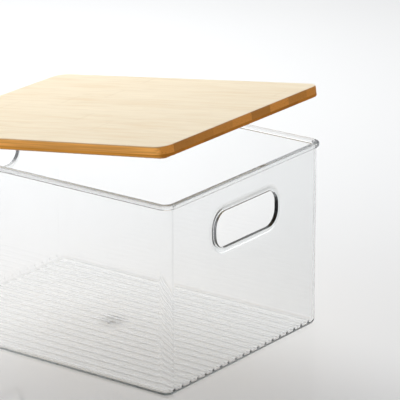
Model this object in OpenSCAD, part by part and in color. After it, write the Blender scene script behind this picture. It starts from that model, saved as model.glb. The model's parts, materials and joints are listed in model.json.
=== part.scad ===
// Clear storage bin for a fridge or pantry, with a loose bamboo board for a lid.
// Origin at the centre of the bin's flat base. X runs along the bin, from one handle to the other,
// Y runs across it and Z is up. All lengths are in millimetres.
// The lid is drawn tilted open about its left bottom edge, which rests on the left rim.

/* [Bin] */
// Length over the rim
bin_l = 264; // [220:1:320]
// Width over the rim
bin_w = 203; // [170:1:240]
// Height from the base to the top of the rim
bin_h = 152; // [130:1:200]
// Thickness of the four walls
wall_t = 2.4; // [1.8:0.1:3.2]
// Thickness of the floor
floor_t = 2.6; // [2:0.1:3.4]
// Outer radius of the upright corners
corner_r = 8; // [7:0.5:14]
// Outer radius of the bottom edge
bottom_r = 4.5; // [3.6:0.1:5]

/* [Rim] */
// How far the rim stands out from the walls
rim_out = 2.2; // [1.2:0.1:3]
// Height of the rim band
rim_h = 3.9; // [2.5:0.1:6]

/* [Handles] */
// Length of each handle opening, across the bin
handle_l = 80; // [60:1:110]
// Height of each handle opening
handle_h = 29; // [26:1:40]
// Corner radius of each handle opening
handle_r = 12; // [6:0.5:12]
// Distance from the top of the rim down to the middle of each opening
handle_drop = 37; // [34:1:60]
// Width of the raised collar round each opening
collar_w = 4; // [2:0.5:6]
// How far the collar stands out from the end wall
collar_out = 1.2; // [0.4:0.1:1.8]

/* [Floor] */
// Distance from one floor rib to the next
rib_pitch = 9.8; // [8:0.1:12]
// Width of each rib
rib_w = 6; // [3:0.1:7]
// Height of each rib above the floor
rib_h = 0.5; // [0.3:0.1:1.4]
// Radius of the round pad on top of the floor, over the moulding gate
gate_pad_r = 3; // [2.5:0.5:9]
// Radius of the shallow dish under the floor, round the moulding gate
gate_dish_r = 20; // [15:1:30]

/* [Lid] */
// Thickness of the bamboo board
lid_t = 8.5; // [7:0.1:12]
// Thickness of its upper ply
face_ply_t = 6; // [4:0.1:6.5]
// Corner radius of the board
lid_corner_r = 11; // [8:0.5:16]
// Width of one bamboo strip
strip_w = 24.4; // [20:0.1:30]
// Width of the trimmed strip at the front of the upper ply
front_strip_w = 11.6; // [11.5:0.1:19]
// How deep the locating panel under the lid reaches into the bin
panel_t = 2; // [1.5:0.1:3]
// Clearance between the locating panel and the bin walls
panel_gap = 1.4; // [0.8:0.1:2.5]
// Angle at which the lid is held open
lid_tilt = 8.1; // [0:0.1:80]

/* [Hidden] */
$fn = 96;
eps = 0.01;
wall_l = bin_l - 2 * rim_out;
wall_w = bin_w - 2 * rim_out;
inner_l = wall_l - 2 * wall_t;
inner_w = wall_w - 2 * wall_t;
inner_r = corner_r - wall_t;
inner_bottom_r = bottom_r - 2;
rim_edge_r = 0.8;
handle_z = bin_h - handle_drop;
rib_count = floor((inner_w - 2 * inner_bottom_r - rib_w) / rib_pitch) + 1;
rib_end = 0.5;
rib_arc_r = (rib_w * rib_w / 4 + rib_h * rib_h) / (2 * rib_h);
gate_pad_h = rib_h + 0.1;
gate_dish_h = 0.4;
gate_tip_r = 1.5;
gate_tip_h = 0.3;
back_ply_t = lid_t - face_ply_t;
seat_gap = 0.05;
panel_l = inner_l - 2 * panel_gap;
panel_w = inner_w - 2 * panel_gap;
panel_r = inner_r - panel_gap;
// Where one strip ends and the next begins, measured from the front edge of the lid
face_joints = concat([0], [for (y = front_strip_w; y < bin_w; y = y + strip_w) y], [bin_w]);
back_joints = concat([0], [for (y = front_strip_w + strip_w / 2; y < bin_w; y = y + strip_w) y], [bin_w]);
FACE_STRIPS = [for (i = [1:len(face_joints) - 1]) str("lid_face_strip_", i)];
BACK_STRIPS = [for (i = [1:len(back_joints) - 1]) str("lid_back_strip_", i)];

// A rectangle with round corners, centred on the origin
module round_rect(l, w, r) {
    square([l, w - 2 * r], center = true);
    square([l - 2 * r, w], center = true);
    for (x = [-1, 1], y = [-1, 1])
        translate([x * (l / 2 - r), y * (w / 2 - r)]) circle(r);
}

// A side view of a tub of width w and height h: a rectangle whose two bottom corners are round
module tub_profile(w, h, r) {
    translate([-w / 2, r]) square([w, h - r]);
    translate([-w / 2 + r, 0]) square([w - 2 * r, h]);
    for (x = [-1, 1])
        translate([x * (w / 2 - r), r]) circle(r);
}

// A solid tub of height h standing on z = 0, with upright corners of radius r
// and a bottom edge of radius edge_r
module tub(l, w, h, r, edge_r) {
    rotate([90, 0, 90]) linear_extrude(l - 2 * r, center = true) tub_profile(w, h, edge_r);
    rotate([90, 0, 0]) linear_extrude(w - 2 * r, center = true) tub_profile(l, h, edge_r);
    for (x = [-1, 1], y = [-1, 1])
        translate([x * (l / 2 - r), y * (w / 2 - r), 0])
            rotate_extrude() intersection() {
                tub_profile(2 * r, h, edge_r);
                square([r + eps, h]);
            }
}

// A band that runs round a rounded rectangle of outer size l by w, centred on z = 0,
// with its outer edges rounded
module rim_band(l, w, r, h, edge_r) {
    linear_extrude(h - 2 * edge_r, center = true) round_rect(l, w, r);
    linear_extrude(h, center = true) round_rect(l - 2 * edge_r, w - 2 * edge_r, r - edge_r);
    for (z = [-1, 1]) translate([0, 0, z * (h / 2 - edge_r)]) {
        for (x = [-1, 1], y = [-1, 1])
            translate([x * (l / 2 - r), y * (w / 2 - r), 0])
                rotate_extrude() translate([r - edge_r, 0]) circle(edge_r);
        for (x = [-1, 1])
            translate([x * (l / 2 - edge_r), 0, 0])
                rotate([90, 0, 0]) cylinder(h = w - 2 * r, r = edge_r, center = true);
        for (y = [-1, 1])
            translate([0, y * (w / 2 - edge_r), 0])
                rotate([0, 90, 0]) cylinder(h = l - 2 * r, r = edge_r, center = true);
    }
}

// The outline of a handle opening grown by g, extruded along X from x0 to x1
module handle_slab(g, x0, x1) {
    translate([x0, 0, handle_z]) rotate([90, 0, 90])
        linear_extrude(x1 - x0) round_rect(handle_l + 2 * g, handle_h + 2 * g, handle_r + g);
}

module floor_ribs() {
    intersection() {
        for (i = [0:rib_count - 1])
            translate([0, (i - (rib_count - 1) / 2) * rib_pitch, floor_t + rib_h - rib_arc_r])
                rotate([0, 90, 0]) cylinder(h = inner_l - 2 * rib_end, r = rib_arc_r, center = true);
        translate([-inner_l / 2, -inner_w / 2, floor_t - 1]) cube([inner_l, inner_w, 1 + 2 * rib_h]);
    }
}

// The dish under the floor, less the stub that the moulding gate leaves in its middle
module gate_dish() {
    difference() {
        translate([0, 0, -eps]) cylinder(h = gate_dish_h + eps, r1 = gate_dish_r, r2 = gate_dish_r / 2);
        translate([0, 0, gate_dish_h - gate_tip_h]) cylinder(h = gate_dish_h, r = gate_tip_r);
    }
}

module bin() {
    color([0.88, 0.92, 0.93, 0.35]) difference() {
        union() {
            difference() {
                union() {
                    tub(wall_l, wall_w, bin_h, corner_r, bottom_r);
                    translate([0, 0, bin_h - rim_h / 2])
                        rim_band(bin_l, bin_w, corner_r + rim_out, rim_h, rim_edge_r);
                    for (side = [0, 1]) mirror([side, 0, 0])
                        handle_slab(collar_w, wall_l / 2 - wall_t / 2, wall_l / 2 + collar_out);
                }
                translate([0, 0, floor_t]) tub(inner_l, inner_w, bin_h, inner_r, inner_bottom_r);
            }
            floor_ribs();
            translate([0, 0, floor_t - eps]) cylinder(h = gate_pad_h + eps, r = gate_pad_r);
        }
        gate_dish();
        for (side = [0, 1]) mirror([side, 0, 0])
            handle_slab(0, wall_l / 2 - 2 * wall_t, wall_l / 2 + 2 * collar_out);
    }
}

// Carries a lid piece, drawn closed, to its tilted place. The board's left bottom edge is the pivot.
module tilted() {
    translate([-bin_l / 2, 0, bin_h + seat_gap]) rotate([0, -lid_tilt, 0]) translate([bin_l / 2, 0, 0])
        children();
}

// The part of the board between two distances from its front edge, from height z to z + t
module board_strip(y0, y1, z, t) {
    color([0.86, 0.70, 0.47]) tilted() intersection() {
        translate([0, 0, z]) linear_extrude(t) round_rect(bin_l, bin_w, lid_corner_r);
        translate([-bin_l / 2, y0 - bin_w / 2, z]) cube([bin_l, y1 - y0, t]);
    }
}

module lid_face_strip(i) {
    board_strip(face_joints[i], face_joints[i + 1], back_ply_t, face_ply_t);
}

module lid_back_strip(i) {
    board_strip(back_joints[i], back_joints[i + 1], 0, back_ply_t);
}

module lid_locating_panel() {
    color([0.80, 0.62, 0.38]) tilted()
        translate([0, 0, -panel_t]) linear_extrude(panel_t) round_rect(panel_l, panel_w, panel_r);
}

bin();
for (i = [0:len(FACE_STRIPS) - 1])
    lid_face_strip(i);
for (i = [0:len(BACK_STRIPS) - 1])
    lid_back_strip(i);
lid_locating_panel();
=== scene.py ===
import json
import math
import random

import bmesh
import bpy
from mathutils import Matrix, Vector


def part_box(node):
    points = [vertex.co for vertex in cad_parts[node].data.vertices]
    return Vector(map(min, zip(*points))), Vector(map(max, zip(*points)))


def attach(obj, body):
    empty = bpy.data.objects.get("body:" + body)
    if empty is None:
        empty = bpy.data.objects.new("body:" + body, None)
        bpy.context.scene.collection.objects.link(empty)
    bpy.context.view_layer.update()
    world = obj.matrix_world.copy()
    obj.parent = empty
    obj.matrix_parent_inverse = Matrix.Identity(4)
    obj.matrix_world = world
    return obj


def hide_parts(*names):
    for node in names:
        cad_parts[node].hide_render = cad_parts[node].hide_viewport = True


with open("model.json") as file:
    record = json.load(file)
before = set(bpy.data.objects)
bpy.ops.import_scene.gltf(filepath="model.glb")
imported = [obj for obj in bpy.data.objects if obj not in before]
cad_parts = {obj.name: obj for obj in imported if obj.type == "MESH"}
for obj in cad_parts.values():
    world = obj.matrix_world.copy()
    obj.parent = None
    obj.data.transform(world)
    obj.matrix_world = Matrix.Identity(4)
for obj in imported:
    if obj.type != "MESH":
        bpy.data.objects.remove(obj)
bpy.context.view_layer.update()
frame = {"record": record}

MM = 0.001

# ---------------------------------------------------------------- sizes, from the frame
BIN_LOW, BIN_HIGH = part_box("bin")
RIM_L = BIN_HIGH[0] - BIN_LOW[0]
RIM_W = BIN_HIGH[1] - BIN_LOW[1]
BIN_H = BIN_HIGH[2] - BIN_LOW[2]
HINGE = frame["record"]["behaviour"]["joints"][0]
PIVOT = Vector(HINGE["pos_m"])
LID_TILT = math.radians(-HINGE["range_deg"][0])

# ---------------------------------------------------------------- the bin's own details
WALL_T = 2.4 * MM
FLOOR_T = 2.6 * MM
CORNER_R = 8.0 * MM
BOTTOM_R = 4.5 * MM
INNER_BOTTOM_R = 2.5 * MM
INNER_EDGE_R = 0.8 * MM  # inner edges of the rim and of the handle openings

# The rim: how far it stands out, its height, and the rounds of its upper edge, its lower edge
# and the corner under it
RIM_OUT = 2.2 * MM
RIM_H = 3.9 * MM
RIM_EDGE_R = 1.2 * MM
RIM_LOW_R = 1.6 * MM
RIM_FILLET_R = 0.4 * MM
UNDER_RIM = BIN_H - RIM_H

# Each handle opening, and the collar round it, which is level at first and then slopes to the wall
HANDLE_L = 80 * MM
HANDLE_H = 29 * MM
HANDLE_R = 12 * MM
HANDLE_Z = BIN_H - 37 * MM
COLLAR_OUT = 1.2 * MM
COLLAR_EDGE_R = 0.4 * MM
COLLAR_FLAT = 1.4 * MM
COLLAR_W = 5.5 * MM

# The ribs along the floor, which run on through the end walls' fillets and up the walls to RIB_TOP.
# Their height changes on the way, and differs between the right end (1) and the left end (-1).
RIB_PITCH = 9.8 * MM
RIB_W = 6.0 * MM
RIB_COUNT = 19
RIB_H = 0.2 * MM
RIB_FILLET_H = {1: 0.42 * MM, -1: 0.2 * MM}
RIB_WALL_H = {1: 0.2 * MM, -1: 0.8 * MM}
RIB_END_RUN = 5.0 * MM
RIB_TOP = 9.0 * MM
RIB_FADE = 4.5 * MM

# The moulding gate: a pad on the floor, and a dish under it with a stub in its middle
GATE_PAD_R = 3.0 * MM
GATE_PAD_H = 0.6 * MM
GATE_PAD_SPREAD = 0.5 * MM
GATE_PAD_SLOPE = 1.2 * MM
GATE_DISH_R = 20 * MM
GATE_DISH_H = 0.4 * MM
GATE_TIP_R = 1.5 * MM
GATE_TIP_H = 0.3 * MM
GATE_TIP_FLARE = 0.3 * MM
GATE_TIP_EASE = 0.2 * MM
GATE_TIP_DRAFT = 0.1 * MM

WALL_L = RIM_L - 2 * RIM_OUT
WALL_W = RIM_W - 2 * RIM_OUT
ARC_X = WALL_L / 2 - WALL_T - INNER_BOTTOM_R  # where the floor meets an end wall's fillet

# ---------------------------------------------------------------- the lid's own details
LID_T = 8.5 * MM
BACK_PLY_T = 2.5 * MM
LID_CORNER_R = 11 * MM
STRIP_W = 24.4 * MM
FRONT_STRIP_W = 11.6 * MM
TOP_EDGE_R = 1.3 * MM
BOTTOM_EDGE_R = 0.8 * MM
PANEL_T = 2.0 * MM
PANEL_GAP = 1.4 * MM
PANEL_EDGE_R = 0.5 * MM

# ---------------------------------------------------------------- how finely the meshes are cut
ARC_STEPS = 10
SHARP_DEG = 40
SAME_PLACE = 1e-7  # vertices closer than this are one

# Steps in half a corner of a handle opening, along its top or bottom, and along its sides. The end
# walls have a patch round each opening, with as many steps across and up.
HALF_ARC = 5
ALONG_TOP = 6
ALONG_SIDE = 2
WALL_STEPS = 2 * HALF_ARC + ALONG_TOP
LEVEL_STEPS = 2 * HALF_ARC + ALONG_SIDE
PATCH_HALF_H = HANDLE_H / 2 + COLLAR_W + 2 * MM
SLOPE_STEPS = 8

# Steps across a rib, and the rows of vertices that cross the ribs on the walls and on the floor
STEPS_PER_RIB = 12
WALL_ROWS = 5
END_ROWS = 5
END_FILL_TOP = 2 * RIB_TOP
FLOOR_CUT_X = 60 * MM
GATE_GRID_HALF = 8 * MM
GATE_GRID_STEP = 0.5 * MM

# Steps down the slope of the gate dish, and round it
DISH_STEPS = 10
DISH_SIDES = 48


# ---------------------------------------------------------------- mesh helpers
def quarter(steps):
    """The angles of a quarter turn, in radians, with both ends included."""
    return [math.pi / 2 * i / steps for i in range(steps + 1)]


def round_rect(l, w, r, steps=ARC_STEPS, side_x=1, side_y=1):
    """Points of a rounded rectangle, anticlockwise from its corner at +X, -Y.
    Its sides along X have side_x segments, and those along Y have side_y."""
    corners = [(1, -1), (1, 1), (-1, 1), (-1, -1)]

    def on_arc(k, turn):
        """The point of corner k at an angle from the corner's start."""
        sx, sy = corners[k % 4]
        angle = (k - 1) * math.pi / 2 + turn
        centre = Vector((sx * (l / 2 - r), sy * (w / 2 - r)))
        return centre + r * Vector((math.cos(angle), math.sin(angle)))

    points = []
    for k in range(4):
        points += [on_arc(k, turn) for turn in quarter(steps)]
        count = side_y if k % 2 == 0 else side_x
        points += [points[-1].lerp(on_arc(k + 1, 0), i / count) for i in range(1, count)]
    return points


def bridge(bm, a, b, closed=True, skip=()):
    """Quads between two rows of equally many vertices, less the columns to skip."""
    count = len(a)
    for i in range(count if closed else count - 1):
        if i not in skip:
            j = (i + 1) % count
            bm.faces.new((a[i], a[j], b[j], b[i]))


def to_object(name, bm, material, body):
    """Turns a mesh into an object that rides on a body. Its normals point outward, and its smooth shading
    keeps hard edges hard and flat faces flat."""
    bmesh.ops.remove_doubles(bm, verts=bm.verts, dist=SAME_PLACE)
    bmesh.ops.recalc_face_normals(bm, faces=bm.faces)
    mesh = bpy.data.meshes.new(name)
    bm.to_mesh(mesh)
    bm.free()
    mesh.shade_smooth()
    mesh.set_sharp_from_angle(angle=math.radians(SHARP_DEG))
    mesh.materials.append(material)
    obj = bpy.data.objects.new(name, mesh)
    bpy.context.scene.collection.objects.link(obj)
    weighted = obj.modifiers.new("flat_faces_stay_flat", "WEIGHTED_NORMAL")
    weighted.keep_sharp = True
    weighted.weight = 100
    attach(obj, body)
    return obj


# ---------------------------------------------------------------- node helpers
class Nodes:
    """Fills one node tree, which it empties first."""

    def __init__(self, tree):
        self.tree = tree
        tree.nodes.clear()

    def add(self, kind, inputs=None, **settings):
        """One node. Its inputs go by name or number, and each is a socket or a plain value."""
        node = self.tree.nodes.new("ShaderNode" + kind)
        for key, value in settings.items():
            setattr(node, key, value)
        for key, value in (inputs or {}).items():
            socket = node.inputs[key]
            if isinstance(value, bpy.types.NodeSocket):
                self.tree.links.new(value, socket)
            elif socket.type == "RGBA":
                socket.default_value = (*value, 1)
            else:
                socket.default_value = value
        return node

    def math(self, operation, a, b=0.0, clamp=False):
        """One sum, product or comparison of values."""
        return self.add("Math", {0: a, 1: b}, operation=operation, use_clamp=clamp).outputs[0]

    def vector(self, operation, a, b):
        """One sum or product of two vectors."""
        return self.add("VectorMath", {0: a, 1: b}, operation=operation).outputs[0]

    def axes(self, place):
        """The x, y and z of a vector."""
        outputs = self.add("SeparateXYZ", {0: place}).outputs
        return outputs[0], outputs[1], outputs[2]

    def size(self, value):
        """A value without its sign."""
        return self.math("ABSOLUTE", value)

    def times(self, a, b):
        """The product of two values."""
        return self.math("MULTIPLY", a, b)

    def above(self, value, limit):
        """1 where a value is more than a limit, and 0 elsewhere."""
        return self.math("GREATER_THAN", value, limit)

    def below(self, value, limit):
        """1 where a value is less than a limit, and 0 elsewhere."""
        return self.math("LESS_THAN", value, limit)

    def within(self, value, centre, reach):
        """1 where a value is less than reach away from a centre, and 0 elsewhere."""
        return self.below(self.size(self.math("SUBTRACT", value, centre)), reach)

    def spread(self, value, source=(0.0, 1.0), result=(0.0, 1.0), curve="LINEAR"):
        """A value whose source range is stretched onto the result range, and which stays inside it."""
        inputs = {0: value, 1: source[0], 2: source[1], 3: result[0], 4: result[1]}
        return self.add("MapRange", inputs, interpolation_type=curve).outputs[0]

    def noise(self, place, scale, detail):
        """Cloudy noise around 0.5."""
        return self.add("TexNoise", {"Vector": place, "Scale": scale, "Detail": detail}).outputs["Fac"]

    def bump(self, height, strength, distance):
        """A normal that follows a height."""
        inputs = {"Height": height, "Strength": strength, "Distance": distance}
        return self.add("Bump", inputs).outputs[0]

    def mixed(self, factor, a, b):
        """Two colours mixed by a factor."""
        return self.add("Mix", {0: factor, 6: a, 7: b}, data_type="RGBA").outputs[2]

    def ramp(self, factor, stops):
        """A colour ramp through (position, colour) stops."""
        node = self.add("ValToRGB", {"Fac": factor})
        elements = node.color_ramp.elements
        while len(elements) < len(stops):
            elements.new(0.5)
        for element, (position, colour) in zip(elements, stops):
            element.position = position
            element.color = (*colour, 1)
        return node.outputs["Color"]

    def own_number(self, name):
        """A custom number of the object that wears the material."""
        return self.add("Attribute", attribute_type="OBJECT", attribute_name=name).outputs["Fac"]


def new_material(name):
    """An empty node material, and the Nodes that fill it."""
    material = bpy.data.materials.new(name)
    material.use_nodes = True
    return material, Nodes(material.node_tree)


def shade(colour, factor):
    """A colour made darker or lighter, up to full brightness."""
    return [min(1, c * factor) for c in colour]


# ---------------------------------------------------------------- materials
PLASTIC_IOR = 1.49
PLASTIC_TINT = (0.38, 0.48, 0.50)
PLASTIC_DENSITY = 7.0
FROSTED_ROUGHNESS = 0.12  # of the haze over the gate and of the parting line

# What the plastic passes at one crossing, place by place. The haze round the gate is the plastic's own;
# the other places are painted shade: the walls darker towards the right, the front rim, a band along the
# rim's lower edge, the collars round the openings, the openings' end faces and the rim's back corners.
# Later places lie over earlier ones.
PASSED_AND_PAINTED_SHADE = {
    "shade_to_right": (0.972, 0.974, 0.974),
    "haze": (0.92, 0.92, 0.92),
    "front_rim_shade": (0.915, 0.915, 0.915),
    "parting_line_and_shade": (0.38, 0.39, 0.40),
    "collar": (0.87, 0.88, 0.88),
    "opening_end_shade": (0.30, 0.30, 0.31),
    "back_corner_shade": (0.43, 0.43, 0.44),
}
PROUD = 0.5 * MM  # how far past the walls a place has to be to lie on the rim or a collar
FRONT_RIM_MARGIN = 0.2 * MM
# The parting line along the rim's lower edge, frosted, and painted as a dark band of shade
PARTING_AND_SHADE_Z = UNDER_RIM + 0.4 * MM
PARTING_AND_SHADE_HALF_H = 0.6 * MM
COLLAR_TOP = UNDER_RIM - 2 * MM
HAZE_RADII = (4 * MM, 16 * MM)
OPENING_MARGIN = 1 * MM
TURNED_TO_END = (0.35, 0.75)  # the share of a normal that points across the bin
BACK_CORNER_CUT = 10 * MM

# How brightly trapped light gets out: in the low part from the bin's left end to its right end, and
# by the rim from RIM_SHADE_RUN inside the right wall's outer face to that face. One part changes to
# the other between the two heights of BY_RIM.
TRAPPED_AFTER = 3.5  # bounces
TRAPPED_LOW = (0.7, 0.03)
TRAPPED_BY_RIM = (1.0, 0.6)
RIM_SHADE_RUN = 9 * MM
BY_RIM = (BIN_H - 40 * MM, BIN_H - 22 * MM)


def plastic_places(n, place):
    """The gate's haze and the places of painted shade, each as a value from 0 to 1."""
    x, y, z = n.axes(place)
    out = n.size(x)
    on_rim = n.above(z, UNDER_RIM + FRONT_RIM_MARGIN)
    in_front = n.below(y, WALL_T + FRONT_RIM_MARGIN - WALL_W / 2)
    raised = n.math("MAXIMUM", n.above(out, WALL_L / 2 + PROUD), n.below(y, -WALL_W / 2 - PROUD))
    from_gate = n.add("VectorMath", {0: place}, operation="LENGTH").outputs["Value"]
    facing_y = n.axes(n.add("TexCoord").outputs["Normal"])[1]
    reach = HANDLE_H / 2 + OPENING_MARGIN
    by_opening = n.times(n.within(out, WALL_L / 2, reach), n.within(z, HANDLE_Z, reach))
    in_opening = n.times(by_opening, n.within(y, 0.0, HANDLE_L / 2 + OPENING_MARGIN))
    in_corner = n.above(n.math("ADD", out, y), (RIM_L + RIM_W) / 2 - BACK_CORNER_CUT)
    return {
        # painted shade: the walls darker towards the right
        "shade_to_right": n.times(n.spread(x, (0.0, WALL_L / 2)), n.above(z, BOTTOM_R)),
        "haze": n.spread(from_gate, HAZE_RADII, (1.0, 0.0), "SMOOTHSTEP"),
        # painted shade on the front rim
        "front_rim_shade": n.times(on_rim, in_front),
        # the parting line, frosted, with a band of painted shade along it
        "parting_line_and_shade": n.times(raised, n.within(z, PARTING_AND_SHADE_Z, PARTING_AND_SHADE_HALF_H)),
        # painted shade on the collars round the openings
        "collar": n.times(raised, n.below(z, COLLAR_TOP)),
        # painted shade on the openings' end faces
        "opening_end_shade": n.times(in_opening, n.spread(n.size(facing_y), TURNED_TO_END)),
        # painted shade in the rim's back corners
        "back_corner_shade": n.times(in_corner, n.above(z, UNDER_RIM)),
    }


def trapped_light(n, place, ray):
    """Lets out light that is trapped in the plastic, less of it to the right and low down. It loses
    brightness only on its first way out."""
    x, _, z = n.axes(place)
    low_part = n.spread(x, (-RIM_L / 2, RIM_L / 2), TRAPPED_LOW)
    rim_part = n.spread(x, (WALL_L / 2 - RIM_SHADE_RUN, WALL_L / 2), TRAPPED_BY_RIM)
    left_over = n.mixed(n.spread(z, BY_RIM), low_part, rim_part)
    out_already = n.above(ray["Transparent Depth"], 0.5)
    return n.add("BsdfTransparent", {"Color": n.mixed(out_already, left_over, (1, 1, 1))}).outputs[0]


def clear_plastic():
    """Polished clear plastic with a faint ripple and fine scuffs, a haze round the gate, and painted
    shade that darkens it from place to place. Shadow and diffuse rays pass straight through, so the
    inside stays bright."""
    material, n = new_material("clear_plastic")
    place = n.add("TexCoord").outputs["Object"]
    places = plastic_places(n, place)
    # The pass colour, with the gate's haze and the painted shade laid over it
    tone = (1, 1, 1)
    for name, passed in PASSED_AND_PAINTED_SHADE.items():
        tone = n.mixed(places[name], tone, passed)
    ripple = n.bump(n.noise(place, scale=16.0, detail=1.0), strength=0.05, distance=0.3 * MM)
    scuffs = n.spread(n.noise(place, scale=140.0, detail=5.0), (0.6, 0.85), (0.0, 0.012))
    frosted = n.times(n.math("MAXIMUM", places["haze"], places["parting_line_and_shade"]), FROSTED_ROUGHNESS)
    rough = n.math("ADD", scuffs, frosted)
    inputs = {"Color": tone, "Roughness": rough, "IOR": PLASTIC_IOR, "Normal": ripple}
    glass = n.add("BsdfGlass", inputs).outputs[0]
    straight = n.add("BsdfTransparent", {"Color": (1, 1, 1)}).outputs[0]
    ray = n.add("LightPath").outputs
    passes = n.math("MAXIMUM", ray["Is Shadow Ray"], ray["Is Diffuse Ray"])
    trapped = n.above(ray["Glossy Depth"], TRAPPED_AFTER)
    seen = n.add("MixShader", {0: trapped, 1: glass, 2: trapped_light(n, place, ray)}).outputs[0]
    surface = n.add("MixShader", {0: passes, 1: seen, 2: straight}).outputs[0]
    tint = n.add("VolumeAbsorption", {"Color": PLASTIC_TINT, "Density": PLASTIC_DENSITY}).outputs[0]
    n.add("OutputMaterial", {"Surface": surface, "Volume": tint})
    return material


# Layers of fibres: how often each repeats per metre along a strip and across it, and its detail
FINE = (28.0, 1500.0, 4.0)
BROAD = (20.0, 170.0, 3.0)
DASHES = (45.0, 520.0, 1.0)
STREAKS = (14.0, 620.0, 2.0)
VESSELS = (30.0, 850.0, 850.0)  # cells per metre along a strip, across it and through it
KNUCKLE_W = 4.4 * MM
KNUCKLE_WAVE = 6 * MM


def bamboo(name, pale, dark, side, roughness):
    """Bamboo strip: long fibres and a knuckle across the faces, streaks along the sides, and vessel dots
    on the ends. Places and directions are taken back to the closed lid, so that fibres run level."""
    material, n = new_material(name)
    coords = n.add("TexCoord").outputs
    place = {"Vector": coords["Object"], "Center": PIVOT, "Angle": LID_TILT}
    direction = {"Vector": coords["Normal"], "Angle": LID_TILT}
    along = n.add("VectorRotate", place, rotation_type="Y_AXIS").outputs[0]
    facing = n.add("VectorRotate", direction, rotation_type="Y_AXIS").outputs[0]
    facing_x, _, facing_z = n.axes(facing)
    tone = n.own_number("strip_tone")
    shifted = n.vector("ADD", along, n.own_number("strip_seed"))

    def fibres(layer):
        """Noise stretched along the strip, for one layer of fibres."""
        lengthwise, across, detail = layer
        stretched = n.vector("MULTIPLY", shifted, (lengthwise, across, across))
        return n.noise(stretched, scale=1.0, detail=detail)

    # Faces: grain, then a wavy line where the knuckle crosses, then short dark dashes
    fine = fibres(FINE)
    dashes = n.spread(fibres(DASHES), (0.60, 0.72))
    grain = n.math("ADD", n.times(fibres(BROAD), 0.55), n.times(fine, 0.45))
    grain = n.math("ADD", grain, n.times(tone, 0.14))
    face = n.ramp(grain, [(0.30, dark), (0.52, pale), (0.75, shade(pale, 1.08))])
    wave = n.math("SUBTRACT", n.noise(shifted, scale=90.0, detail=2.0), 0.5)
    offset = n.math("SUBTRACT", n.axes(along)[0], n.own_number("knuckle_x"))
    offset = n.math("ADD", offset, n.times(wave, KNUCKLE_WAVE))
    near = n.spread(n.size(offset), (0.0, KNUCKLE_W / 2), (1.0, 0.0))
    knuckle = n.times(near, n.times(fine, 0.5))
    face = n.mixed(knuckle, face, shade(dark, 0.86))
    face = n.mixed(n.times(dashes, 0.3), face, shade(dark, 0.84))

    # Sides: long streaks, with a line of painted shade where the rounded edge turns into the face
    upright = n.spread(n.size(facing_z), (0.25, 0.9), (1.0, 0.0))
    streak = n.spread(fibres(STREAKS), (0.35, 0.65))
    side_face = n.mixed(streak, shade(side, 0.86), shade(side, 1.3))
    painted_edge_shade = n.times(upright, n.math("SUBTRACT", 1.0, upright))
    colour = n.mixed(upright, face, side_face)
    colour = n.mixed(n.times(painted_edge_shade, 2.4), colour, shade(side, 0.55))

    # Ends: a deeper tone that differs from strip to strip, and vessel dots
    deep = [side[0] * 1.03, side[1] * 0.9, side[2] * 0.72]
    cells = n.vector("MULTIPLY", shifted, VESSELS)
    vessel = n.add("TexVoronoi", {"Vector": cells, "Scale": 1.0, "Randomness": 0.9})
    dot = n.spread(vessel.outputs["Distance"], (0.12, 0.34), (1.0, 0.0))
    end_tone = n.math("ADD", n.times(tone, 1.6), 0.45, clamp=True)
    end = n.mixed(end_tone, shade(deep, 0.56), shade(deep, 1.05))
    end = n.mixed(n.times(dot, 0.55), end, shade(deep, 0.35))
    colour = n.mixed(n.spread(n.size(facing_x), (0.4, 0.6)), colour, end)

    relief = n.math("ADD", fine, n.times(knuckle, 0.6))
    inputs = {
        "Base Color": colour,
        "Roughness": n.spread(fine, (0.2, 0.8), (roughness - 0.06, roughness + 0.08)),
        "Normal": n.bump(relief, strength=0.35, distance=0.12 * MM),
        "Specular IOR Level": n.spread(upright, result=(0.4, 0.05)),
    }
    n.add("OutputMaterial", {"Surface": n.add("BsdfPrincipled", inputs).outputs[0]})
    return material


def studio_floor():
    """Pale glossy table."""
    material, n = new_material("studio_floor")
    cloud = n.noise(n.add("TexCoord").outputs["Object"], scale=3.0, detail=2.0)
    rough = n.spread(cloud, result=(0.015, 0.035))
    inputs = {"Base Color": (0.88, 0.88, 0.88), "Roughness": rough, "Specular IOR Level": 1.0}
    n.add("OutputMaterial", {"Surface": n.add("BsdfPrincipled", inputs).outputs[0]})
    return material


# ---------------------------------------------------------------- the bin
def smooth(t):
    """0 to 1 with level ends."""
    t = max(0.0, min(1.0, t))
    return t * t * (3 - 2 * t)


def arc(cx, cz, r, start, end, steps=5):
    """Points on a circle in the section's plane, from a start angle to an end angle in degrees."""
    return [
        (cx + r * math.cos(math.radians(a)), cz + r * math.sin(math.radians(a)))
        for a in (start + (end - start) * i / steps for i in range(steps + 1))
    ]


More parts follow.
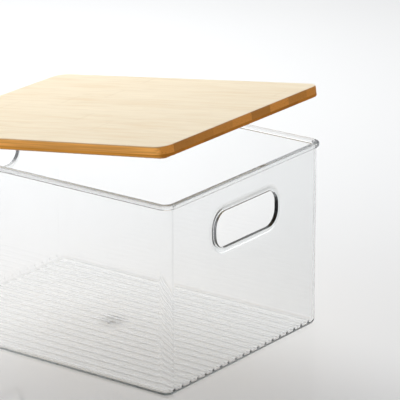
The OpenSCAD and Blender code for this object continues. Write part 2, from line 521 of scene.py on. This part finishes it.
def shell_section(levels):
    """The wall's section as (distance out from the outer wall face, height), from the underside of the
    floor, up the outside, round the rim and down the inside to the top of the floor. The three numbers
    after it say where the levels start outside and inside, and where the ribs' run-up starts."""
    top_in = -WALL_T + INNER_EDGE_R
    outside = arc(-BOTTOM_R, BOTTOM_R, BOTTOM_R, -90, 0, steps=8)
    outside += [(0, z) for z in levels]
    rim = arc(RIM_FILLET_R, UNDER_RIM - RIM_FILLET_R, RIM_FILLET_R, 180, 90, steps=4)
    rim += arc(RIM_OUT - RIM_LOW_R, UNDER_RIM + RIM_LOW_R, RIM_LOW_R, -90, 0)
    rim += arc(RIM_OUT - RIM_EDGE_R, BIN_H - RIM_EDGE_R, RIM_EDGE_R, 0, 90)
    rim += arc(top_in, BIN_H - INNER_EDGE_R, INNER_EDGE_R, 90, 180)
    inside = [(-WALL_T, z) for z in reversed(levels)] + [(-WALL_T, END_FILL_TOP)]
    section = outside + rim + inside
    drop = RIB_TOP - (FLOOR_T + INNER_BOTTOM_R)
    rib_run = [(-WALL_T, RIB_TOP - drop * i / WALL_ROWS) for i in range(WALL_ROWS)]
    rib_run += arc(-WALL_T - INNER_BOTTOM_R, FLOOR_T + INNER_BOTTOM_R, INNER_BOTTOM_R, 0, -90, steps=8)
    return section + rib_run, len(outside) - len(levels), len(outside) + len(rim), len(section)


def collar_section():
    """The handle edge's section as (distance from the opening's edge, distance out from the wall)."""
    fall = COLLAR_W - COLLAR_FLAT
    slope = [COLLAR_FLAT + fall * i / SLOPE_STEPS for i in range(SLOPE_STEPS, -1, -1)]
    section = [(s, COLLAR_OUT * smooth((COLLAR_W - s) / fall)) for s in slope]
    section += arc(COLLAR_EDGE_R, COLLAR_OUT - COLLAR_EDGE_R, COLLAR_EDGE_R, 90, 180)
    section += arc(INNER_EDGE_R, -WALL_T + INNER_EDGE_R, INNER_EDGE_R, 180, 270)
    return section


def handle_opening(bm, side, outer, inner):
    """Fills an end wall's patch round one handle opening. outer and inner are the patch's rim loops."""
    loops = [outer]
    for s, n in collar_section():
        l, h, r = HANDLE_L + 2 * s, HANDLE_H + 2 * s, HANDLE_R + s
        outline = round_rect(l, h, r, steps=2 * HALF_ARC, side_x=ALONG_TOP, side_y=ALONG_SIDE)
        x = WALL_L / 2 + n
        loops.append([bm.verts.new((side * x, side * u, HANDLE_Z + v)) for u, v in outline])
    loops.append(inner)
    for a, b in zip(loops, loops[1:]):
        bridge(bm, a, b)


def patch_loop(rings, first, step, columns):
    """The vertices round a wall patch, from HALF_ARC before its lower right corner, anticlockwise."""
    rows = [[rings[first + step * j][c] for c in columns] for j in range(LEVEL_STEPS + 1)]
    right = [row[-1] for row in rows]
    left = [row[0] for row in rows]
    loop = rows[0][:-1] + right[:-1] + rows[-1][:0:-1] + left[:0:-1]
    start = len(columns) - 1 - HALF_ARC
    return loop[start:] + loop[:start]


def fill_flat(bm, loops, normal):
    """Triangles between closed loops in one plane."""
    edges = []
    for loop in loops:
        for a, b in zip(loop, loop[1:] + loop[:1]):
            edges.append(bm.edges.get((a, b)) or bm.edges.new((a, b)))
    bmesh.ops.triangle_fill(bm, use_beauty=True, edges=edges, normal=normal)


def rib_height(y):
    """The ribs' height at a distance across the bin, as a share of their full height."""
    nearest = round(y / RIB_PITCH)
    if abs(nearest) > (RIB_COUNT - 1) // 2:
        return 0.0
    across = min(1.0, abs(y - nearest * RIB_PITCH) / (RIB_W / 2))
    return 0.5 + 0.5 * math.cos(math.pi * across)


def full_height(x):
    """Full height of the ribs on the floor, which nears that in the fillet towards each end wall."""
    end_h = RIB_FILLET_H[1 if x > 0 else -1]
    return RIB_H + (end_h - RIB_H) * smooth(1 - (ARC_X - abs(x)) / RIB_END_RUN)


def pad_height(x, y):
    """Height of the gate pad above the floor."""
    return GATE_PAD_H * smooth((GATE_PAD_R + GATE_PAD_SPREAD - math.hypot(x, y)) / GATE_PAD_SLOPE)


def rib_places(half_w):
    """Distances across the bin at which the ribbed floor has vertices, from -half_w to half_w."""
    places = [-half_w]
    for k in range(RIB_COUNT):
        centre = (k - (RIB_COUNT - 1) / 2) * RIB_PITCH
        places += [centre + RIB_W * (i / STEPS_PER_RIB - 0.5) for i in range(STEPS_PER_RIB + 1)]
    return places + [half_w]


def ribbed_floor(bm, rings, ends):
    """The floor's top, with ribs that run on up the end walls. rings are the shell's loops that the ribs
    cross on each end wall, from the top down. ends are the columns at the front and the back of the right
    wall, and then of the left wall."""
    ys = rib_places(WALL_W / 2 - CORNER_R)

    def wall_row(ring, side, low_y, high_y):
        """One row of vertices across an end wall, moved off the wall or its fillet by the ribs."""
        x, z = abs(ring[low_y].co.x), ring[low_y].co.z
        sine = max(0.0, (x - ARC_X) / INNER_BOTTOM_R)
        inward, up = sine, math.sqrt(max(0.0, 1 - sine * sine))
        rise = smooth((z - FLOOR_T) / INNER_BOTTOM_R)
        full = RIB_FILLET_H[side] + (RIB_WALL_H[side] - RIB_FILLET_H[side]) * rise
        full *= smooth((RIB_TOP - z) / RIB_FADE)
        row = []
        for y in ys[1:-1]:
            h = rib_height(y) * full
            row.append(bm.verts.new((side * (x - h * inward), y, z + h * up)))
        return [ring[low_y], *row, ring[high_y]]

    (right_low, right_high), (left_low, left_high) = ends
    gate_rows = round(2 * GATE_GRID_HALF / GATE_GRID_STEP) + 1
    middle = [-GATE_GRID_HALF + GATE_GRID_STEP * i for i in range(gate_rows)]
    end_run = [ARC_X - RIB_END_RUN * i / END_ROWS for i in range(1, END_ROWS + 1)]
    xs = [*(-x for x in end_run), -FLOOR_CUT_X, *middle, FLOOR_CUT_X, *reversed(end_run)]

    def floor_vertex(x, y):
        """A vertex on the floor, raised by a rib or by the gate pad."""
        return bm.verts.new((x, y, FLOOR_T + max(rib_height(y) * full_height(x), pad_height(x, y))))

    floor_rows = [[floor_vertex(x, y) for y in ys] for x in xs]
    grid = [wall_row(ring, -1, left_low, left_high) for ring in rings]
    grid += floor_rows
    grid += [wall_row(ring, 1, right_low, right_high) for ring in reversed(rings)]
    for a, b in zip(grid, grid[1:]):
        bridge(bm, a, b, closed=False)
    return grid


def gate_dish(bm):
    """The shallow dish under the floor with the gate's stub in it, and its border loop."""
    shares = [i / DISH_STEPS for i in range(DISH_STEPS - 1)]
    section = [(GATE_DISH_R * (1 - share), GATE_DISH_H * smooth(share)) for share in shares]
    tip_r, tip_z = GATE_TIP_R - GATE_TIP_DRAFT, GATE_DISH_H - GATE_TIP_H
    section += [(GATE_TIP_R + GATE_TIP_FLARE, GATE_DISH_H), (GATE_TIP_R, GATE_DISH_H - GATE_TIP_EASE)]
    section += [(tip_r, tip_z + GATE_TIP_EASE), (tip_r - GATE_TIP_FLARE, tip_z)]
    turns = [2 * math.pi * i / DISH_SIDES for i in range(DISH_SIDES)]
    loops = [[bm.verts.new((r * math.cos(t), r * math.sin(t), z)) for t in turns] for r, z in section]
    for a, b in zip(loops, loops[1:]):
        bridge(bm, a, b)
    bm.faces.new(loops[-1])
    return loops[0]


def shell_rings(bm, section):
    """One closed loop of vertices for each point of the wall's section."""
    return [
        [
            bm.verts.new((x, y, z))
            for x, y in round_rect(WALL_L + 2 * n, WALL_W + 2 * n, CORNER_R + n, side_y=WALL_STEPS)
        ]
        for n, z in section
    ]


def floor_fills(bm, rings, grid, ribs_first, right, left):
    """The flat faces round the ribs, on the end walls and on the floor. right and left are the first and
    the last column of each end wall."""
    above, floor_ring = rings[ribs_first - 1], rings[-1]
    fill_flat(bm, [above[right[0] : right[1] + 1] + grid[-1][::-1]], (-1, 0, 0))
    fill_flat(bm, [above[left[0] : left[1] + 1] + grid[0]], (1, 0, 0))
    run_up = len(rings) - ribs_first - 1
    floor_rows = grid[run_up : len(grid) - run_up]
    back = [row[-1] for row in floor_rows]
    front = [row[0] for row in floor_rows]
    fill_flat(bm, [floor_ring[right[1] : left[0]] + back[:-1]], (0, 0, 1))
    fill_flat(bm, [floor_ring[left[1] :] + floor_ring[: right[0]] + front[:0:-1]], (0, 0, 1))


def make_bin(material):
    """The bin as one closed mesh: the shell, its handle openings, the ribbed floor and the gate dish."""
    bm = bmesh.new()
    level_step = 2 * PATCH_HALF_H / LEVEL_STEPS
    levels = [HANDLE_Z - PATCH_HALF_H + level_step * j for j in range(LEVEL_STEPS + 1)]
    section, outer_first, inner_first, ribs_first = shell_section(levels)
    rings = shell_rings(bm, section)
    # The end walls lie between the first corner and the second, and between the third and the fourth
    right_first, left_first = ARC_STEPS, 3 * ARC_STEPS + WALL_STEPS + 1
    right = (right_first, right_first + WALL_STEPS)
    left = (left_first, left_first + WALL_STEPS)
    end_walls = {*range(*right), *range(*left)}
    for k, (a, b) in enumerate(zip(rings, rings[1:])):
        by_handle = 0 <= k - outer_first < LEVEL_STEPS or 0 <= k - inner_first < LEVEL_STEPS
        by_ribs = k >= ribs_first - 1
        bridge(bm, a, b, skip=end_walls if by_handle or by_ribs else ())
    for side, wall in ((1, right), (-1, left)):
        columns = range(wall[0], wall[1] + 1)
        outer = patch_loop(rings, outer_first, 1, columns)
        inner = patch_loop(rings, inner_first + LEVEL_STEPS, -1, columns)
        handle_opening(bm, side, outer, inner)

    grid = ribbed_floor(bm, rings[ribs_first:], (right, left[::-1]))
    floor_fills(bm, rings, grid, ribs_first, right, left)
    fill_flat(bm, [rings[0], gate_dish(bm)], (0, 0, -1))
    bmesh.ops.delete(bm, geom=[v for v in bm.verts if not v.link_faces], context="VERTS")
    obj = to_object("bin_moulding", bm, material, "bin")
    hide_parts("bin")


# ---------------------------------------------------------------- the lid
TO_TILTED = Matrix.Translation(PIVOT) @ Matrix.Rotation(-LID_TILT, 4, "Y") @ Matrix.Translation(-PIVOT)


def board(l, w, r, low, high, low_r, high_r):
    """A closed board with round corners and eased edges, from low to high above the lid's underside."""
    section = arc(low_r, low + low_r, low_r, 270, 180, steps=4) if low_r else [(0, low)]
    section += arc(high_r, high - high_r, high_r, 180, 90) if high_r else [(0, high)]
    bm = bmesh.new()
    rings = [
        [bm.verts.new((x, y, PIVOT.z + z)) for x, y in round_rect(l - 2 * i, w - 2 * i, r - i)]
        for i, z in section
    ]
    for a, b in zip(rings, rings[1:]):
        bridge(bm, a, b)
    bm.faces.new(rings[0])
    bm.faces.new(rings[-1])
    return bm


def cut(bm, y, keep):
    """Cuts a closed mesh at y, and keeps the side that keep points to, closed again."""
    geometry = bm.verts[:] + bm.edges[:] + bm.faces[:]
    made = bmesh.ops.bisect_plane(
        bm, geom=geometry, plane_co=(0, y, 0), plane_no=(0, keep, 0), clear_inner=True, dist=SAME_PLACE
    )
    edges = [e for e in made["geom_cut"] if isinstance(e, bmesh.types.BMEdge)]
    bmesh.ops.edgenet_fill(bm, edges=edges)


def joints(first):
    """Where strips meet, measured across the lid."""
    places, y = [-RIM_W / 2], first - RIM_W / 2
    while y < RIM_W / 2:
        places.append(y)
        y += STRIP_W
    return places + [RIM_W / 2]


def set_grain(obj, seed, tone, knuckle_x):
    """The numbers that the bamboo material reads from each object."""
    obj["strip_seed"] = seed
    obj["strip_tone"] = tone
    obj["knuckle_x"] = knuckle_x


def make_strips(ply, material, first, low, high, low_r, high_r):
    """One ply of the board, cut into strips, each with its own grain, tone and knuckle."""
    places = joints(first)
    for i, (y0, y1) in enumerate(zip(places, places[1:])):
        bm = board(RIM_L, RIM_W, LID_CORNER_R, low, high, low_r, high_r)
        if i > 0:
            cut(bm, y0, 1)
        if i < len(places) - 2:
            cut(bm, y1, -1)
        bm.transform(TO_TILTED)
        node = f"lid_{ply}_strip_{i + 1}"
        obj = to_object(f"{ply}_strip_{i + 1}", bm, material, "lid")
        seed = random.uniform(0, 40)
        tone = random.uniform(-0.22, 0.22)
        set_grain(obj, seed, tone, random.uniform(-0.45, 0.45) * RIM_L)
        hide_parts(node)


def make_panel(material):
    """The panel under the board, which fits inside the bin's walls."""
    inset = WALL_T + PANEL_GAP
    bm = board(
        WALL_L - 2 * inset, WALL_W - 2 * inset, CORNER_R - inset, -PANEL_T, 0, PANEL_EDGE_R, 0
    )
    bm.transform(TO_TILTED)
    obj = to_object("locating_panel", bm, material, "lid")
    set_grain(obj, seed=7.0, tone=0.0, knuckle_x=30 * MM)
    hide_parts("lid_locating_panel")


def make_lid():
    """The upper ply, the lower ply with its joints staggered from the upper ones, and the panel."""
    face = bamboo(
        "bamboo_face",
        pale=(0.88, 0.74, 0.515),
        dark=(0.82, 0.63, 0.375),
        side=(0.69, 0.325, 0.08),
        roughness=0.36,
    )
    back = bamboo(
        "bamboo_back",
        pale=(0.74, 0.55, 0.32),
        dark=(0.62, 0.42, 0.21),
        side=(0.55, 0.23, 0.035),
        roughness=0.48,
    )
    staggered = FRONT_STRIP_W + STRIP_W / 2
    make_strips("face", face, FRONT_STRIP_W, BACK_PLY_T, LID_T, 0, TOP_EDGE_R)
    make_strips("back", back, staggered, 0, BACK_PLY_T, BOTTOM_EDGE_R, 0)
    make_panel(back)


# ---------------------------------------------------------------- stage, lights and camera
FLOOR_HALF = 9.0
FLOOR_DROP = 0.05 * MM

# The sky's brightness against the sine of the height above the horizon
SKY = [
    (0.0, (1.0, 1.0, 1.0)),
    (0.17, (0.6, 0.6, 0.6)),
    (0.35, (0.59, 0.59, 0.59)),
    (0.8, (0.11, 0.11, 0.113)),
]
SKY_STRENGTH = 1.6
LIGHT_COLOUR = (0.965, 0.985, 1.0)


def make_floor():
    """A wide flat table, just under the bin so that their faces don't share a plane."""
    bm = bmesh.new()
    bmesh.ops.create_grid(bm, x_segments=1, y_segments=1, size=FLOOR_HALF)
    mesh = bpy.data.meshes.new("floor")
    bm.to_mesh(mesh)
    bm.free()
    mesh.materials.append(studio_floor())
    floor = bpy.data.objects.new("floor", mesh)
    floor.location.z = -FLOOR_DROP
    bpy.context.scene.collection.objects.link(floor)


def make_world():
    """A white studio, brightest along the horizon and darker overhead."""
    world = bpy.data.worlds.new("studio")
    bpy.context.scene.world = world
    world.use_nodes = True
    n = Nodes(world.node_tree)
    _, _, height = n.axes(n.add("TexCoord").outputs["Generated"])
    light = n.add("Background", {"Color": n.ramp(height, SKY), "Strength": SKY_STRENGTH})
    n.add("OutputWorld", {"Surface": light.outputs[0]})


def softbox(name, location, size, watts):
    """A square area light that faces the bin, and that isn't mirrored in polished faces."""
    data = bpy.data.lights.new(name, "AREA")
    data.size = size
    data.energy = watts
    data.color = LIGHT_COLOUR
    light = bpy.data.objects.new(name, data)
    light.location = location
    aim = Vector((0, 0, BIN_H / 2)) - light.location
    light.rotation_mode = "QUATERNION"
    light.rotation_quaternion = aim.to_track_quat("-Z", "Y")
    light.visible_camera = False
    light.visible_glossy = False
    light.visible_transmission = False
    bpy.context.scene.collection.objects.link(light)


def make_camera():
    """A long lens, far off to the front right and a little above the bin."""
    azimuth, elevation = math.radians(36.43), math.radians(18.73)
    target = Vector((50.6 * MM, 47.9 * MM, 101.1 * MM))
    distance = 2.3666
    back = Vector(
        (
            math.sin(azimuth) * math.cos(elevation),
            -math.cos(azimuth) * math.cos(elevation),
            math.sin(elevation),
        )
    )
    data = bpy.data.cameras.new("camera")
    data.sensor_width = 36
    data.lens = 270
    data.clip_end = 50
    camera = bpy.data.objects.new("camera", data)
    camera.location = target + back * distance
    camera.rotation_mode = "QUATERNION"
    camera.rotation_quaternion = (-back).to_track_quat("-Z", "Y")
    bpy.context.scene.collection.objects.link(camera)
    bpy.context.scene.camera = camera


# ---------------------------------------------------------------- the whole scene
random.seed(8)
make_bin(clear_plastic())
make_lid()
make_floor()
make_world()
softbox("key_behind_left", (-0.7, 0.5, 0.9), 0.6, 9.6)
softbox("fill_front_left", (-1.1, -1.1, 0.5), 1.0, 7)
softbox("fill_right", (1.5, 0.2, 1.1), 0.8, 1.2)
make_camera()
bpy.context.scene.view_settings.view_transform = "Standard"
